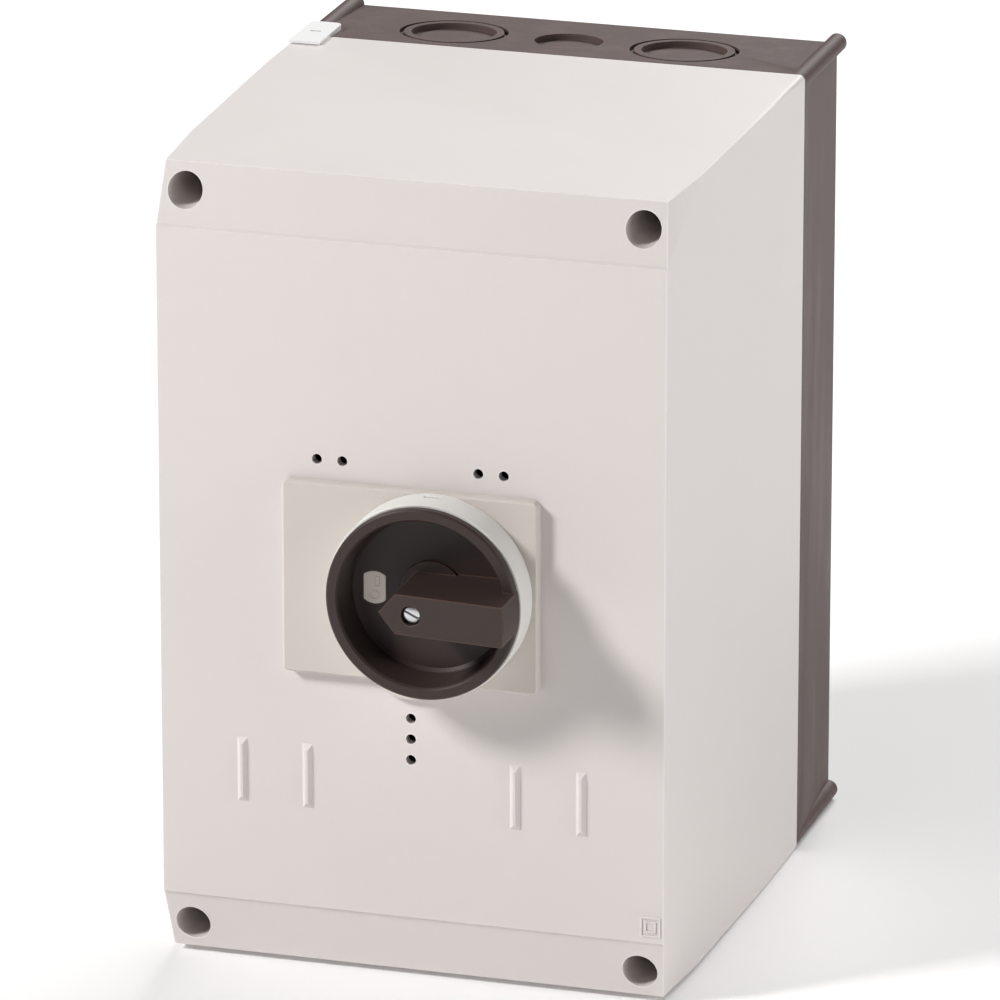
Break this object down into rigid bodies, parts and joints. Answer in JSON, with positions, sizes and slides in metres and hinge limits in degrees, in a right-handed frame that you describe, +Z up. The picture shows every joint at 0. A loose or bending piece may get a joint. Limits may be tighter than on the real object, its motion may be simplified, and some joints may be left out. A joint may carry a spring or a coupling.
{
  "type": "rotary isolator switch",
  "caption": "Surface-mounted rotary isolator switch in a two-part moulded enclosure with a round recessed handle, padlock slide and cam-operated contacts.",
  "frame": {"origin": "centre of the wall face", "axes": "+Y into the wall, +Z up, +X to the right seen from the front"},
  "size_m": [0.155, 0.2136, 0.2409],
  "materials": {
    "cover_plastic": "satin moulded",
    "base_plastic": "matt moulded",
    "plate_plastic": "satin moulded",
    "knob_plastic": "satin moulded",
    "window_plastic": "satin moulded",
    "white_plastic": "gloss moulded",
    "chamber_plastic": "matt moulded",
    "latch_plastic": "satin moulded",
    "rubber": "matt",
    "zinc_steel": "zinc plated",
    "bright_steel": "polished",
    "spring_steel": "bright rolled",
    "contact_copper": "brushed",
    "neutral_blue": "lacquered",
    "earth_green": "lacquered"
  },
  "bodies": {
    "base": {"base_housing": "base_plastic", "base_gasket": "rubber", "mounting_pan": "zinc_steel", "pan_screws": "zinc_steel", "switch_carrier": "chamber_plastic", "contact_chamber_1": "chamber_plastic", "contact_chamber_2": "chamber_plastic", "contact_chamber_3": "chamber_plastic", "line_contacts": "contact_copper", "load_contacts": "contact_copper", "terminal_screws": "zinc_steel", "latch_housing": "chamber_plastic", "latch_springs": "spring_steel", "latch_lid": "chamber_plastic", "tie_bolts": "zinc_steel", "neutral_terminal": "neutral_blue", "earth_terminal": "earth_green", "terminal_bar_screws": "zinc_steel", "cover_strap": "white_plastic"},
    "lid": {"cover": "cover_plastic", "cover_screws": "zinc_steel", "shaft_bush": "knob_plastic", "front_plate": "plate_plastic", "plate_screws": "zinc_steel", "locking_collar": "plate_plastic"},
    "handle": {"knob": "knob_plastic", "position_window": "window_plastic", "knob_screw": "bright_steel", "shaft_coupler": "zinc_steel"},
    "slide": {"padlock_slide": "plate_plastic"},
    "rotor": {"switch_shaft": "zinc_steel", "cam_1": "latch_plastic", "cam_2": "latch_plastic", "cam_3": "latch_plastic", "latch_wheel": "latch_plastic"},
    "contacts": {"contact_bridge_1": "contact_copper", "contact_bridge_2": "contact_copper", "contact_bridge_3": "contact_copper", "bridge_carriers": "latch_plastic", "contact_springs": "spring_steel"}
  },
  "joints": [
    {"name": "cover_lift", "type": "slide", "parent": "base", "child": "lid", "axis": [0, -1, 0], "range_m": [0, 0.16]},
    {"name": "switch_turn", "type": "hinge", "parent": "base", "child": "rotor", "pos_m": [0.0084, -0.19, 0.0008], "axis": [0, 1, 0], "range_deg": [0, 90]},
    {"name": "handle_turn", "type": "hinge", "parent": "lid", "child": "handle", "pos_m": [0.0084, -0.19, 0.0008], "axis": [0, 1, 0], "range_deg": [0, 90]},
    {"name": "contact_travel", "type": "slide", "parent": "base", "child": "contacts", "axis": [0, 0, -1], "range_m": [0, 0.003], "deforming": ["contact_springs"]},
    {"name": "slide_pull", "type": "slide", "parent": "lid", "child": "slide", "axis": [0, 0, -1], "range_m": [0, 0.012]}
  ],
  "couplings": [
    {"joint": "handle_turn", "follows": "switch_turn", "ratio": 1},
    {"joint": "contact_travel", "follows": "switch_turn", "m_per_rad": 0.0019097}
  ]
}
